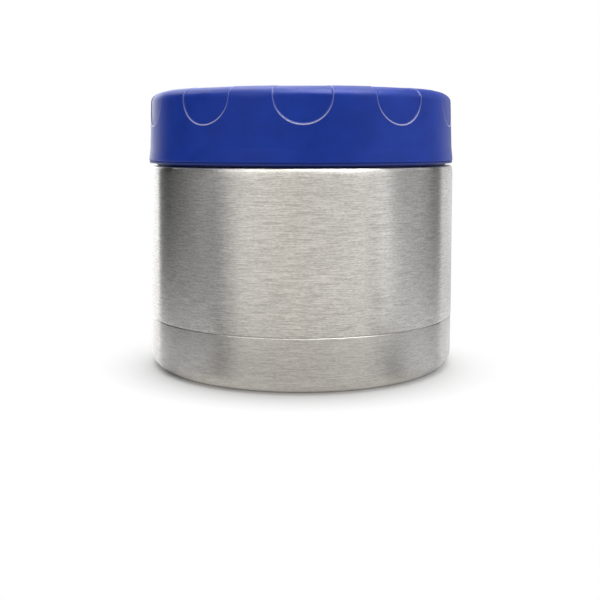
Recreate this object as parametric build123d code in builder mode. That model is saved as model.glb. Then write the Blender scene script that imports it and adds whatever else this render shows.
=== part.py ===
"""Vacuum food jar with a screw-on insulated lid, in millimetres.

The jar is a double wall of steel sheet: an outer shell with a threaded neck, an inner vessel welded
to it at the mouth, a vacuum bottom inside, and a base cup pressed over the shell's lower end.
The lid is a plastic cap with finger scallops round its top edge, welded to a liner that carries
the thread, the stopper and the gasket, with foam between them.
The origin is on the axis where the base stands; +Z points up through the lid.
"""

import os
from math import radians, tan

from build123d import *

# ---- Driving dimensions: jar ----
body_radius = 53.5  # outer wall of the jar, and of the lid's lower edge
shoulder_height = 70.0
shoulder_round = 1.2
neck_height = 16.0  # shoulder to mouth
neck_root_round = 1.0
steel = 0.5  # sheet thickness of every drawn steel part
mouth_gap = 1.8  # vacuum gap between neck and inner vessel
lip_bend = 0.8  # inside bend radius of the rolled lip
lip_land = 0.4  # straight end of the lip, down to its weld with the neck
vessel_corner = 10.5  # outside radius where the vessel's floor meets its wall
floor_gap = 3.5  # vacuum under the inner vessel

# ---- Driving dimensions: base ----
seam_height = 17.9  # where the base cup meets the upper shell
seam_round = 0.4
seam_step = 0.1  # the cup is this much smaller in radius than the shell
press_clearance = 0.05  # between parts pressed or lapped into each other
cup_corner = 5.2  # outside radius of the cup's lower edge
foot_width = 2.2  # flat standing ring, up to the start of the cup's corner
foot_bend = 0.8
base_recess = 2.0  # hollow under the base, inside the standing ring
cup_gap = 2.5  # between the base cup's floor and the vacuum bottom
rim_lap = 4.0  # how far the vacuum bottom's rim reaches up inside the shell
rim_corner = 1.5

# ---- Driving dimensions: vacuum fittings ----
port_radius = 1.0  # hole through which the jar is pumped out
dimple_radius = 5.0
dimple_depth = 1.2
solder_radius = 3.6
solder_height = 0.8
getter_radius = 5.0
getter_height = 1.8
getter_round = 0.45
getter_offset = 26.0  # from the axis
clip_width = 5.0
clip_thickness = 0.3
clip_foot = 3.5
fitting_clearance = 0.1
foil = 0.1
foil_clearance = 0.2
foil_top_margin = 8.0  # bare vessel wall left between the foil and the lip

# ---- Driving dimensions: screw thread ----
thread_starts = 2
thread_lead = 10.0  # rise of one full turn
ridge_depth = 1.4  # how far a ridge stands off the neck
liner_ridge_depth = 1.5
ridge_root = 3.0  # width of a neck ridge at its foot
liner_ridge_root = 2.8
ridge_flank = 30.0  # slope of both ridges' flanks from the radial direction
ridge_sink = 0.25  # how far a ridge's foot reaches into the wall that carries it
thread_clearance = 0.4  # radial, from the neck ridge's crest to the liner's wall
flank_clearance = 0.35  # axial, between the flanks that pull the lid down
ridge_margin = 1.0  # plain neck left above and below the ridges
liner_ridge_rise = 6.5  # height gained along one ridge of the liner

# ---- Driving dimensions: lid ----
lid_gap = 0.8  # dark line between the shoulder and the closed lid
edge_round = 0.4
edge_blend = 0.1  # where the cap's rounded lower edge meets its flat underside
flange_height = 0.7  # liner's rim, seen as a fine line under the cap
flange_inset = 0.15
seat_inset = 2.5  # the liner's foot is this much smaller in radius than the body
seat_clearance = 0.2  # between the liner's foot and the shoulder
seat_round = 0.15
band_height = 4.6  # slightly flared band along the cap's lower edge
band_flare = 0.44
skirt_draft = 1.8  # degrees
cap_wall = 1.9
cap_roof = 2.0
cap_corner_width = 5.3  # the cap's top edge is a quarter ellipse
cap_corner_height = 3.5
cap_crown = 0.4
cap_inner_round = 2.5
scallop_count = 10
scallop_radius = 9.35
scallop_inset = 2.2  # scallop centre, in from the wall
scallop_drop = 3.0  # scallop centre, below the cap's top
scallop_depth = 0.3
scallop_phase = -89.3  # direction of the first scallop on the closed lid, in degrees
liner_gap = 0.4  # air between the liner and the cap's wall
liner_wall = 1.65
liner_web = 1.6
liner_round = 1.0
stopper_clearance = 1.2  # between the stopper and the vessel's wall
stopper_depth = 16.5  # reach of the stopper below the mouth
stopper_wall = 1.3
stopper_floor = 1.5
stopper_corner = 1.5
foam_over_liner = 3.35
foam_clearance = 0.2

# ---- Driving dimensions: gasket ----
gasket_height = 2.0
gasket_overhang = 0.6  # past the outside of the lip
gasket_groove = 0.9  # depth of the groove in the stopper that holds the gasket
gasket_clearance = 0.2
gasket_round = 0.5

# ---- Heights, from the base upwards ----
vacuum_floor = base_recess + steel + cup_gap
shell_end = vacuum_floor + rim_corner
vessel_floor = vacuum_floor + steel + floor_gap
mouth = shoulder_height + neck_height
lip_edge = mouth - steel - lip_bend - lip_land
lid_bottom = shoulder_height + lid_gap
seat_bottom = shoulder_height + seat_clearance
flange_top = lid_bottom + flange_height
band_top = flange_top + band_height
gasket_bottom = mouth + gasket_clearance
liner_ceiling = gasket_bottom + gasket_height + gasket_clearance
liner_top = liner_ceiling + liner_web
cap_ceiling = liner_top + foam_over_liner
cap_top = cap_ceiling + cap_roof
cap_corner_start = cap_top - cap_corner_height
stopper_bottom = mouth - stopper_depth

# ---- Radii, from the lid's outside inwards ----
skirt_radius = body_radius - band_flare
cap_shoulder_radius = skirt_radius - (cap_corner_start - band_top) * tan(radians(skirt_draft))
liner_radius = cap_shoulder_radius - cap_wall - liner_gap
liner_bore = liner_radius - liner_wall
neck_radius = liner_bore - thread_clearance - ridge_depth
neck_bore = neck_radius - steel
vessel_radius = neck_bore - mouth_gap
cavity_radius = vessel_radius - steel
stopper_radius = cavity_radius - stopper_clearance
groove_radius = stopper_radius - gasket_groove
foam_radius = groove_radius - stopper_wall - foam_clearance
cup_radius = body_radius - seam_step
joggle_radius = cup_radius - steel - press_clearance
rim_radius = joggle_radius - steel - press_clearance
foot_radius = cup_radius - cup_corner - foot_width

# ---- Thread layout ----
ridge_slope = tan(radians(ridge_flank))
ridge_crest = ridge_root - 2 * ridge_slope * ridge_depth
liner_ridge_crest = liner_ridge_root - 2 * ridge_slope * liner_ridge_depth
ridge_foot = shoulder_height + neck_root_round + ridge_margin + ridge_root / 2
ridge_rise = lip_edge - ridge_margin / 2 - ridge_root / 2 - ridge_foot
flank_pitch = (ridge_root + liner_ridge_root) / 2 - ridge_slope * (liner_bore - neck_radius)
mesh_drop = flank_pitch + flank_clearance
liner_ridge_foot = lid_bottom + edge_round + liner_ridge_root / 2
liner_ridge_turn = 360 * (liner_ridge_foot - ridge_foot + mesh_drop) / thread_lead


def points(corners):
    """The places of an outline's corners."""
    return [(radius, height) for radius, height, _ in corners]


def rounds(corners):
    """The rounding radius of each corner of an outline."""
    return [rounding for _, _, rounding in corners]


# ---- Outer shell: wall, rounded shoulder and neck from one drawn sheet ----
shell_corners = [
    (neck_radius, lip_edge, 0),
    (neck_radius, shoulder_height, neck_root_round),
    (body_radius, shoulder_height, shoulder_round),
    (body_radius, seam_height, seam_round),
    (joggle_radius, seam_height, 0),
    (joggle_radius, shell_end, 0),
    (joggle_radius - steel, shell_end, 0),
    (joggle_radius - steel, seam_height + steel, 0),
    (body_radius - steel, seam_height + steel, 0),
    (body_radius - steel, shoulder_height - steel, shoulder_round - steel),
    (neck_bore, shoulder_height - steel, neck_root_round + steel),
    (neck_bore, lip_edge, 0),
]

# One rolled ridge of the neck's thread: a trapezoid swept up a helix, with a rounded nose at each end.
with BuildPart() as neck_ridge:
    with BuildLine() as ridge_path:
        Helix(thread_lead, ridge_rise, neck_radius, center=(0, 0, ridge_foot))
    with BuildSketch(Plane(ridge_path.line @ 0, x_dir=(1, 0, 0), z_dir=ridge_path.line % 0)):
        with BuildLine():
            Polyline(
                (-ridge_sink, -ridge_root / 2),
                (0, -ridge_root / 2),
                (ridge_depth, -ridge_crest / 2),
                (ridge_depth, ridge_crest / 2),
                (0, ridge_root / 2),
                (-ridge_sink, ridge_root / 2),
                close=True,
            )
        make_face()
    sweep(is_frenet=True)
    for end in (0, 1):
        foot = ridge_path.line @ end
        outward = Vector(foot.X, foot.Y, 0).normalized()
        with Locations(Plane(foot, z_dir=outward)):
            Cone(
                ridge_root / 2,
                ridge_crest / 2,
                ridge_depth,
                align=(Align.CENTER, Align.CENTER, Align.MIN),
            )
            Cylinder(ridge_root / 2, ridge_sink, align=(Align.CENTER, Align.CENTER, Align.MAX))

with BuildPart() as outer_shell:
    with BuildSketch(Plane.XZ):
        with BuildLine():
            FilletPolyline(*points(shell_corners), radius=rounds(shell_corners), close=True)
        make_face()
    revolve(axis=Axis.Z)
    with PolarLocations(0, thread_starts):
        add(neck_ridge.part)

# ---- Inner vessel: the bowl that holds the food, its lip rolled out to meet the neck ----
vessel_corners = [
    (0, vessel_floor, 0),
    (vessel_radius, vessel_floor, vessel_corner),
    (vessel_radius, mouth - steel, lip_bend),
    (neck_bore, mouth - steel, lip_bend),
    (neck_bore, lip_edge, 0),
    (neck_radius, lip_edge, 0),
    (neck_radius, mouth, lip_bend + steel),
    (cavity_radius, mouth, lip_bend + steel),
    (cavity_radius, vessel_floor + steel, vessel_corner - steel),
    (0, vessel_floor + steel, 0),
]

with BuildPart() as inner_vessel:
    with BuildSketch(Plane.XZ):
        with BuildLine():
            FilletPolyline(*points(vessel_corners), radius=rounds(vessel_corners), close=True)
        make_face()
    revolve(axis=Axis.Z)

# ---- Base cup: drawn cup pressed over the shell's stepped-in lower end ----
cup_corners = [
    (0, base_recess, 0),
    (foot_radius, base_recess, foot_bend),
    (foot_radius, 0, foot_bend),
    (cup_radius, 0, cup_corner),
    (cup_radius, seam_height, seam_round),
    (cup_radius - steel, seam_height, 0),
    (cup_radius - steel, steel, cup_corner - steel),
    (foot_radius + steel, steel, foot_bend - steel),
    (foot_radius + steel, base_recess + steel, foot_bend + steel),
    (0, base_recess + steel, 0),
]

with BuildPart() as base_cup:
    with BuildSketch(Plane.XZ):
        with BuildLine():
            FilletPolyline(*points(cup_corners), radius=rounds(cup_corners), close=True)
        make_face()
    revolve(axis=Axis.Z)

# ---- Vacuum bottom: dish that closes the vacuum space, with a dimpled pump-out port ----
bottom_corners = [
    (port_radius, vacuum_floor + dimple_depth, 0),
    (dimple_radius, vacuum_floor + dimple_depth, 0),
    (dimple_radius + dimple_depth, vacuum_floor, 0),
    (rim_radius, vacuum_floor, rim_corner),
    (rim_radius, shell_end + rim_lap, 0),
    (rim_radius - steel, shell_end + rim_lap, 0),
    (rim_radius - steel, vacuum_floor + steel, rim_corner - steel),
    (dimple_radius + dimple_depth, vacuum_floor + steel, 0),
    (dimple_radius, vacuum_floor + dimple_depth + steel, 0),
    (port_radius, vacuum_floor + dimple_depth + steel, 0),
]

with BuildPart() as vacuum_bottom:
    with BuildSketch(Plane.XZ):
        with BuildLine():
            FilletPolyline(*points(bottom_corners), radius=rounds(bottom_corners), close=True)
        make_face()
    revolve(axis=Axis.Z)

# ---- Port seal: bead of solder glass in the dimple, melted over the pump-out port ----
seal_top = vacuum_floor + dimple_depth
with BuildPart() as port_seal:
    with BuildSketch(Plane.XZ):
        with BuildLine():
            Line((0, seal_top - solder_height), (0, seal_top))
            Line((0, seal_top), (solder_radius, seal_top))
            TangentArc((0, seal_top - solder_height), (solder_radius, seal_top), tangent=(1, 0))
        make_face()
    revolve(axis=Axis.Z)

# ---- Getter: gas-absorbing pill held on the vacuum bottom by a spot-welded strap ----
getter_seat = vacuum_floor + steel
with BuildPart() as getter_pill:
    with Locations((getter_offset, 0, getter_seat)):
        Cylinder(getter_radius, getter_height, align=(Align.CENTER, Align.CENTER, Align.MIN))
    fillet(getter_pill.edges().filter_by(GeomType.CIRCLE).group_by(Axis.Z)[-1], getter_round)

clip_span = getter_radius + fitting_clearance
clip_roof = getter_seat + getter_height + fitting_clearance
clip_points = [
    (-clip_span - clip_foot, getter_seat),
    (-clip_span, getter_seat),
    (-clip_span, clip_roof),
    (clip_span, clip_roof),
    (clip_span, getter_seat),
    (clip_span + clip_foot, getter_seat),
    (clip_span + clip_foot, getter_seat + clip_thickness),
    (clip_span + clip_thickness, getter_seat + clip_thickness),
    (clip_span + clip_thickness, clip_roof + clip_thickness),
    (-clip_span - clip_thickness, clip_roof + clip_thickness),
    (-clip_span - clip_thickness, getter_seat + clip_thickness),
    (-clip_span - clip_foot, getter_seat + clip_thickness),
]
with BuildPart() as getter_clip:
    with BuildSketch(Plane.YZ.offset(getter_offset)):
        with BuildLine():
            Polyline(*clip_points, close=True)
        make_face()
    extrude(amount=clip_width / 2, both=True)

# ---- Radiation shield: foil wrapped round the vessel's wall in the vacuum ----
foil_bore = vessel_radius + foil_clearance
foil_bottom = vessel_floor + vessel_corner
foil_height = mouth - foil_top_margin - foil_bottom
with BuildPart() as radiation_shield:
    with BuildSketch(Plane.XY.offset(foil_bottom)):
        Circle(foil_bore + foil)
        Circle(foil_bore, mode=Mode.SUBTRACT)
    extrude(amount=foil_height)

# ---- Lid cap: drafted skirt, elliptical top edge, slight crown ----
def cap_section(inset):
    """Half section of the cap's outer form, drawn the given depth under its surface."""
    top = cap_top - inset
    crown_top = (0, top + cap_crown)
    crown_edge = (cap_shoulder_radius - cap_corner_width, top)
    with BuildSketch() as section:
        with BuildLine():
            FilletPolyline(
                (cap_shoulder_radius - inset, cap_corner_start),
                (skirt_radius - inset, band_top),
                (body_radius - inset, flange_top + edge_round),
                (body_radius - inset - edge_round, flange_top),
                (0, flange_top),
                radius=(band_height, edge_round, edge_blend),
            )
            Line((0, flange_top), crown_top)
            TangentArc(crown_top, crown_edge, tangent=(1, 0))
            EllipticalCenterArc(
                (crown_edge[0], cap_corner_start),
                cap_corner_width - inset,
                cap_corner_height - inset,
                start_angle=0,
                arc_size=90,
            )
        make_face()
    return section.sketch


with BuildPart() as scallop_cutter:
    with Locations((cap_shoulder_radius - scallop_inset, 0, cap_top - scallop_drop)):
        Sphere(scallop_radius)
    with BuildSketch(Plane.XZ):
        add(cap_section(scallop_depth))
    revolve(axis=Axis.Z, mode=Mode.SUBTRACT)

skirt_slope = tan(radians(skirt_draft))
cap_bore_top = cap_shoulder_radius - cap_wall
cap_bore_bottom = cap_bore_top + (cap_ceiling - flange_top) * skirt_slope
cap_hollow_corners = [
    (0, flange_top, 0),
    (cap_bore_bottom, flange_top, 0),
    (cap_bore_top, cap_ceiling, cap_inner_round),
    (0, cap_ceiling, 0),
]

with BuildPart() as lid_cap:
    with BuildSketch(Plane.XZ):
        add(cap_section(0))
    revolve(axis=Axis.Z)
    with BuildSketch(Plane.XZ):
        with BuildLine():
            FilletPolyline(*points(cap_hollow_corners), radius=rounds(cap_hollow_corners), close=True)
        make_face()
    revolve(axis=Axis.Z, mode=Mode.SUBTRACT)
    with PolarLocations(0, scallop_count, start_angle=scallop_phase):
        add(scallop_cutter.part, mode=Mode.SUBTRACT)

# ---- Lid liner: threaded collar, gasket seat and stopper in one moulding ----
flange_radius = body_radius - flange_inset
seat_radius = body_radius - seat_inset
liner_corners = [
    (liner_bore, seat_bottom, edge_round),
    (seat_radius, seat_bottom, seat_round),
    (seat_radius, lid_bottom, 0),
    (flange_radius, lid_bottom, edge_round),
    (flange_radius, flange_top, 0),
    (liner_radius, flange_top, 0),
    (liner_radius, liner_top, liner_round),
    (groove_radius - stopper_wall, liner_top, 0),
    (groove_radius - stopper_wall, stopper_bottom + stopper_floor, 0),
    (0, stopper_bottom + stopper_floor, 0),
    (0, stopper_bottom, 0),
    (stopper_radius, stopper_bottom, stopper_corner),
    (stopper_radius, mouth, edge_round),
    (groove_radius, mouth, 0),
    (groove_radius, liner_ceiling, 0),
    (liner_bore, liner_ceiling, edge_round),
]

# One ridge inside the liner, under the neck's ridge and on the same helix.
with BuildPart() as liner_ridge:
    with BuildLine() as liner_ridge_path:
        Helix(thread_lead, liner_ridge_rise, liner_bore, center=(0, 0, liner_ridge_foot))
    with BuildSketch(
        Plane(liner_ridge_path.line @ 0, x_dir=(1, 0, 0), z_dir=liner_ridge_path.line % 0)
    ):
        with BuildLine():
            Polyline(
                (ridge_sink, -liner_ridge_root / 2),
                (0, -liner_ridge_root / 2),
                (-liner_ridge_depth, -liner_ridge_crest / 2),
                (-liner_ridge_depth, liner_ridge_crest / 2),
                (0, liner_ridge_root / 2),
                (ridge_sink, liner_ridge_root / 2),
                close=True,
            )
        make_face()
    sweep(is_frenet=True)
    for end in (0, 1):
        foot = liner_ridge_path.line @ end
        inward = Vector(-foot.X, -foot.Y, 0).normalized()
        with Locations(Plane(foot, z_dir=inward)):
            Cone(
                liner_ridge_root / 2,
                liner_ridge_crest / 2,
                liner_ridge_depth,
                align=(Align.CENTER, Align.CENTER, Align.MIN),
            )
            Cylinder(liner_ridge_root / 2, ridge_sink, align=(Align.CENTER, Align.CENTER, Align.MAX))

with BuildPart() as lid_liner:
    with BuildSketch(Plane.XZ):
        with BuildLine():
            FilletPolyline(*points(liner_corners), radius=rounds(liner_corners), close=True)
        make_face()
    revolve(axis=Axis.Z)
    with PolarLocations(0, thread_starts, start_angle=liner_ridge_turn):
        add(liner_ridge.part)

# ---- Lid insulation: foam filling the stopper and the space under the cap's roof ----
foam_disc_radius = cap_bore_top - cap_inner_round - foam_clearance
foam_corners = [
    (0, stopper_bottom + stopper_floor, 0),
    (foam_radius, stopper_bottom + stopper_floor, 0),
    (foam_radius, liner_top, 0),
    (foam_disc_radius, liner_top, 0),
    (foam_disc_radius, cap_ceiling, 0),
    (0, cap_ceiling, 0),
]

with BuildPart() as lid_insulation:
    with BuildSketch(Plane.XZ):
        with BuildLine():
            Polyline(*points(foam_corners), close=True)
        make_face()
    revolve(axis=Axis.Z)

# ---- Gasket: silicone ring in the stopper's groove, over the lip of the jar ----
gasket_bore = groove_radius + gasket_clearance
gasket_corners = [
    (gasket_bore, gasket_bottom, 0),
    (neck_radius + gasket_overhang, gasket_bottom, gasket_round),
    (neck_radius + gasket_overhang, gasket_bottom + gasket_height, gasket_round),
    (gasket_bore, gasket_bottom + gasket_height, 0),
]

with BuildPart() as lid_gasket:
    with BuildSketch(Plane.XZ):
        with BuildLine():
            FilletPolyline(*points(gasket_corners), radius=rounds(gasket_corners), close=True)
        make_face()
    revolve(axis=Axis.Z)

# ---- Write each piece ----
pieces = {
    "outer_shell": outer_shell,
    "inner_vessel": inner_vessel,
    "base_cup": base_cup,
    "vacuum_bottom": vacuum_bottom,
    "port_seal": port_seal,
    "getter_pill": getter_pill,
    "getter_clip": getter_clip,
    "radiation_shield": radiation_shield,
    "lid_cap": lid_cap,
    "lid_liner": lid_liner,
    "lid_insulation": lid_insulation,
    "lid_gasket": lid_gasket,
}
os.makedirs("parts", exist_ok=True)
for name, piece in pieces.items():
    piece.part.label = name
    export_step(piece.part, f"parts/{name}.step")
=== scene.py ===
"""Looks of the vacuum food jar: fine spun meshes, brushed steel, satin lid plastic and soft studio light."""

import math

import bmesh
import bpy
from mathutils import Matrix, Vector


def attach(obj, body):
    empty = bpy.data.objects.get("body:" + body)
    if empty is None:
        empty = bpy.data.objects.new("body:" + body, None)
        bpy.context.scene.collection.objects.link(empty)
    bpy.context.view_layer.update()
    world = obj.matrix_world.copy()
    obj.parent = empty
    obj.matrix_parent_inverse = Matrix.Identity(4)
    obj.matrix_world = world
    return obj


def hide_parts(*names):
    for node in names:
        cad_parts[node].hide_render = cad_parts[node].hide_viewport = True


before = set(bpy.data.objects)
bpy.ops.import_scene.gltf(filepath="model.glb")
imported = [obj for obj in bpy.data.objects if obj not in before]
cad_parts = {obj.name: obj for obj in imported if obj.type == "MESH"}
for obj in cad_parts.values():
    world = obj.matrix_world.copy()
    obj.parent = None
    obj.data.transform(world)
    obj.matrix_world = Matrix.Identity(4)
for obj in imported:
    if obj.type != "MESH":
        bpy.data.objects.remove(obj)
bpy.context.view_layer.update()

MM = 0.001  # one millimetre in the scene's metres

# ---- Sizes of the jar, in millimetres ----
BODY_RADIUS = 53.5
SHOULDER_HEIGHT = 70.0
SHOULDER_ROUND = 1.2
# The wall leans in a little under the shoulder: (in from the wall, down from the shoulder, rounding).
SHOULDER_EASE = ((0.42, 0.0, 0.8), (0.12, 1.2, 3.0), (0.0, 2.6, 12.0))
SHOULDER_LEAN_INSIDE = 0.45
NECK_HEIGHT = 16.0
NECK_ROOT_ROUND = 1.0
STEEL = 0.5  # thickness of the drawn sheet
MOUTH = SHOULDER_HEIGHT + NECK_HEIGHT
MOUTH_GAP = 1.8  # between the neck and the inner vessel
LIP_BEND = 0.8
LIP_LAND = 0.4  # straight end of the lip
LIP_EDGE = MOUTH - STEEL - LIP_BEND - LIP_LAND
VESSEL_FLOOR = 9.0
VESSEL_CORNER = 10.5
SEAM_HEIGHT = 17.9
SEAM_ROUND = 0.4
SEAM_STEP = 0.1  # the cup is this much smaller in radius than the shell
PRESS_CLEARANCE = 0.05
CUP_RADIUS = BODY_RADIUS - SEAM_STEP
CUP_CORNER = 5.2
FOOT_RADIUS = 46.0
FOOT_BEND = 0.8
BASE_RECESS = 2.0
JOGGLE_RADIUS = CUP_RADIUS - STEEL - PRESS_CLEARANCE
SHELL_END = 6.5

# ---- Sizes of the screw thread ----
THREAD_LEAD = 10.0  # rise of one full turn
THREAD_STARTS = 2
THREAD_CLEARANCE = 0.4
FLANK_CLEARANCE = 0.35
THREAD_ROW = 0.22  # height of the mesh rows that carry a thread
RIDGE_DEPTH = 1.4
LINER_RIDGE_DEPTH = 1.5
RIDGE_ROOT = 3.0  # width of a neck ridge at its foot
LINER_RIDGE_ROOT = 2.8
LINER_RIDGE_RISE = 6.5
RIDGE_MARGIN = 1.0  # plain neck below the ridges, and half as much above them
RIDGE_SLOPE = math.tan(math.radians(30.0))
RIDGE_EASING = 0.35  # how much of a ridge's height is eased at its foot and crest

# ---- Sizes of the lid ----
LID_BOTTOM = SHOULDER_HEIGHT + 0.8
SEAT_BOTTOM = SHOULDER_HEIGHT + 0.2
SEAT_RADIUS = BODY_RADIUS - 2.5
SEAT_ROUND = 0.15
FLANGE_TOP = LID_BOTTOM + 0.7
FLANGE_RADIUS = BODY_RADIUS - 0.15
EDGE_ROUND = 0.4
BAND_TOP = FLANGE_TOP + 4.6
BAND_ROUND = 6.0
SKIRT_RADIUS = BODY_RADIUS - 0.44
SKIRT_DRAFT = math.tan(math.radians(1.8))
CAP_TOP = 95.35
CAP_CROWN = 0.4
CAP_CORNER_WIDTH = 5.3
CAP_CORNER_HEIGHT = 3.5
CAP_CORNER_START = CAP_TOP - CAP_CORNER_HEIGHT
CAP_SHOULDER_RADIUS = SKIRT_RADIUS - (CAP_CORNER_START - BAND_TOP) * SKIRT_DRAFT
CAP_WALL = 1.9
CAP_CEILING = CAP_TOP - 2.0
CAP_INNER_ROUND = 2.5
SCALLOP_COUNT = 10
SCALLOP_SECTOR = 2 * math.pi / SCALLOP_COUNT
SCALLOP_RADIUS = 9.35
SCALLOP_CENTRE = (CAP_SHOULDER_RADIUS - 2.2, CAP_TOP - 3.0)
SCALLOP_DEPTH = 0.3
SCALLOP_RUNOUT = 1.5  # height under the cap's top over which a scallop grows to its full depth
SCALLOP_LEAST = 0.4  # share of its depth that it keeps at the top
SCALLOP_STEP = 0.5  # width of the slope round it
SCALLOP_STEP_START = 0.03  # how far outside its outline the slope begins
SCALLOP_PHASE = math.radians(-89.3)  # direction of the first scallop
HIGHLIGHT_LINE_CLEAR = 0.07  # half width of the pale line along a scallop's edge, partly a polished edge and partly a painted highlight, and where it has faded out
HIGHLIGHT_LINE_GONE = 0.26
HIGHLIGHT_LINE_FADES = (83.5, 90.0)  # heights over which the line grows fainter towards the top, as its painted highlight does
LINER_RADIUS = CAP_SHOULDER_RADIUS - CAP_WALL - 0.4
LINER_BORE = LINER_RADIUS - 1.65
LINER_ROUND = 1.0
NECK_RADIUS = LINER_BORE - THREAD_CLEARANCE - RIDGE_DEPTH
NECK_BORE = NECK_RADIUS - STEEL
VESSEL_RADIUS = NECK_BORE - MOUTH_GAP
CAVITY_RADIUS = VESSEL_RADIUS - STEEL
STOPPER_RADIUS = CAVITY_RADIUS - 1.2
STOPPER_BOTTOM = MOUTH - 16.5
STOPPER_WALL = 1.3
STOPPER_FLOOR = 1.5
STOPPER_CORNER = 1.5
GROOVE_RADIUS = STOPPER_RADIUS - 0.9
GASKET_CLEARANCE = 0.2
GASKET_OVERHANG = 0.6  # past the outside of the lip
GASKET_ROUND = 0.5
GASKET_BOTTOM = MOUTH + GASKET_CLEARANCE
GASKET_TOP = GASKET_BOTTOM + 2.0
LINER_CEILING = GASKET_TOP + GASKET_CLEARANCE
LINER_TOP = LINER_CEILING + 1.6

ROUND_SEGMENTS = 240  # columns of a spun piece


# ---- Camera and stage ----
def make_camera():
    """Camera a little above the shoulder's height, tipped slightly down at the jar."""
    data = bpy.data.cameras.new("camera")
    data.sensor_width = 36.0
    data.lens = 57.9
    data.shift_x = -0.0015
    data.shift_y = -0.122
    camera = bpy.data.objects.new("camera", data)
    camera.location = (0, -345.3 * MM, 77.9 * MM)
    down = 5  # degrees
    camera.rotation_euler = (math.radians(90 - down), 0, 0)
    bpy.context.scene.collection.objects.link(camera)
    bpy.context.scene.camera = camera


make_camera()


# ---- Helpers for materials ----
class NodeTree:
    """A tree of shader or geometry nodes, with short ways to add and join them."""

    def __init__(self, tree):
        self.tree = tree

    def add(self, kind, **settings):
        """A new node; each setting is one of its properties, or the value of an input."""
        node = self.tree.nodes.new(kind)
        for key, value in settings.items():
            if hasattr(node, key):
                setattr(node, key, value)
            else:
                node.inputs[key.replace("_", " ").title()].default_value = value
        return node

    def join(self, source, target):
        self.tree.links.new(source, target)

    def math(self, operation, first, second=None):
        """Result of one sum on sockets or plain numbers."""
        node = self.tree.nodes.new("ShaderNodeMath")
        node.operation = operation
        for socket, value in zip(node.inputs, (first, second)):
            if value is None:
                continue
            if hasattr(value, "is_linked"):
                self.join(value, socket)
            else:
                socket.default_value = value
        return node.outputs[0]


def new_material(name):
    """Material with an empty node tree."""
    material = bpy.data.materials.new(name)
    material.use_nodes = True
    material.node_tree.nodes.clear()
    return material, NodeTree(material.node_tree)


def principled(shader, **values):
    """Principled shader joined to the output, its constants set on its own sockets."""
    surface = shader.tree.nodes.new("ShaderNodeBsdfPrincipled")
    output = shader.tree.nodes.new("ShaderNodeOutputMaterial")
    shader.join(surface.outputs["BSDF"], output.inputs["Surface"])
    for key, value in values.items():
        surface.inputs[key.replace("_", " ")].default_value = value
    return surface


def group_tree(name, inputs, outputs):
    """Empty shader node group with named numbers for inputs, and named outputs."""
    tree = bpy.data.node_groups.new(name, "ShaderNodeTree")
    for label, default in inputs.items():
        socket = tree.interface.new_socket(label, in_out="INPUT", socket_type="NodeSocketFloat")
        socket.default_value = default
    for label, kind in outputs.items():
        tree.interface.new_socket(label, in_out="OUTPUT", socket_type=kind)
    return tree, NodeTree(tree), tree.nodes.new("NodeGroupInput"), tree.nodes.new("NodeGroupOutput")


# ---- Surface effects shared by several materials ----
def make_brushing():
    """Fine lines round the jar, short scratches and long strokes, from noise stretched along the surface."""
    tree, shader, given, out = group_tree(
        "brushing",
        {"Line Height": 0.24, "Short Line": 1.1, "Long Line": 5.0, "Waviness": 0.03},
        {"Lines": "NodeSocketFloat", "Cloud": "NodeSocketFloat"},
    )
    place = shader.add("ShaderNodeTexCoord").outputs["Object"]
    split = shader.add("ShaderNodeSeparateXYZ")
    shader.join(place, split.inputs[0])
    wave = shader.add("ShaderNodeTexNoise", scale=60.0, detail=1.0)
    shader.join(place, wave.inputs["Vector"])
    off_level = shader.math("SUBTRACT", wave.outputs["Fac"], 0.5)
    shift = shader.math("MULTIPLY", off_level, given.outputs["Waviness"])
    full_shift = 10 * MM
    height = shader.math("ADD", split.outputs["Z"], shader.math("MULTIPLY", shift, full_shift))
    per_height = shader.math("DIVIDE", 1 / MM, given.outputs["Line Height"])
    strokes = []
    for length, detail in (("Short Line", 2.0), ("Long Line", 1.0)):
        per_length = shader.math("DIVIDE", 1 / MM, given.outputs[length])
        lines = shader.add("ShaderNodeCombineXYZ")
        shader.join(shader.math("MULTIPLY", split.outputs["X"], per_length), lines.inputs["X"])
        shader.join(shader.math("MULTIPLY", split.outputs["Y"], per_length), lines.inputs["Y"])
        shader.join(shader.math("MULTIPLY", height, per_height), lines.inputs["Z"])
        noise = shader.add("ShaderNodeTexNoise", scale=1.0, detail=detail, roughness=0.5)
        shader.join(lines.outputs[0], noise.inputs["Vector"])
        strokes.append(shader.math("MULTIPLY", noise.outputs["Fac"], 0.5))
    cloud = shader.add("ShaderNodeTexNoise", scale=90.0, detail=3.0, roughness=0.5)
    shader.join(place, cloud.inputs["Vector"])
    shader.join(shader.math("ADD", strokes[0], strokes[1]), out.inputs["Lines"])
    shader.join(cloud.outputs["Fac"], out.inputs["Cloud"])
    return tree


def make_grain():
    """Fine moulded grain with a soft, broad mottle."""
    tree, shader, given, out = group_tree(
        "moulded_grain",
        {"Grain Size": 0.4, "Mottle Size": 8.0},
        {"Grain": "NodeSocketFloat", "Mottle": "NodeSocketFloat"},
    )
    place = shader.add("ShaderNodeTexCoord").outputs["Object"]
    for label, size, detail in (("Grain", "Grain Size", 2.0), ("Mottle", "Mottle Size", 4.0)):
        noise = shader.add("ShaderNodeTexNoise", detail=detail, roughness=0.55)
        shader.join(place, noise.inputs["Vector"])
        shader.join(shader.math("DIVIDE", 1 / MM, given.outputs[size]), noise.inputs["Scale"])
        shader.join(noise.outputs["Fac"], out.inputs[label])
    return tree


BRUSHING = make_brushing()
GRAIN = make_grain()


def use_group(shader, tree, **values):
    """The group placed in a tree, with its own values on its inputs."""
    node = shader.tree.nodes.new("ShaderNodeGroup")
    node.node_tree = tree
    for key, value in values.items():
        node.inputs[key.replace("_", " ")].default_value = value
    return node


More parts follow.
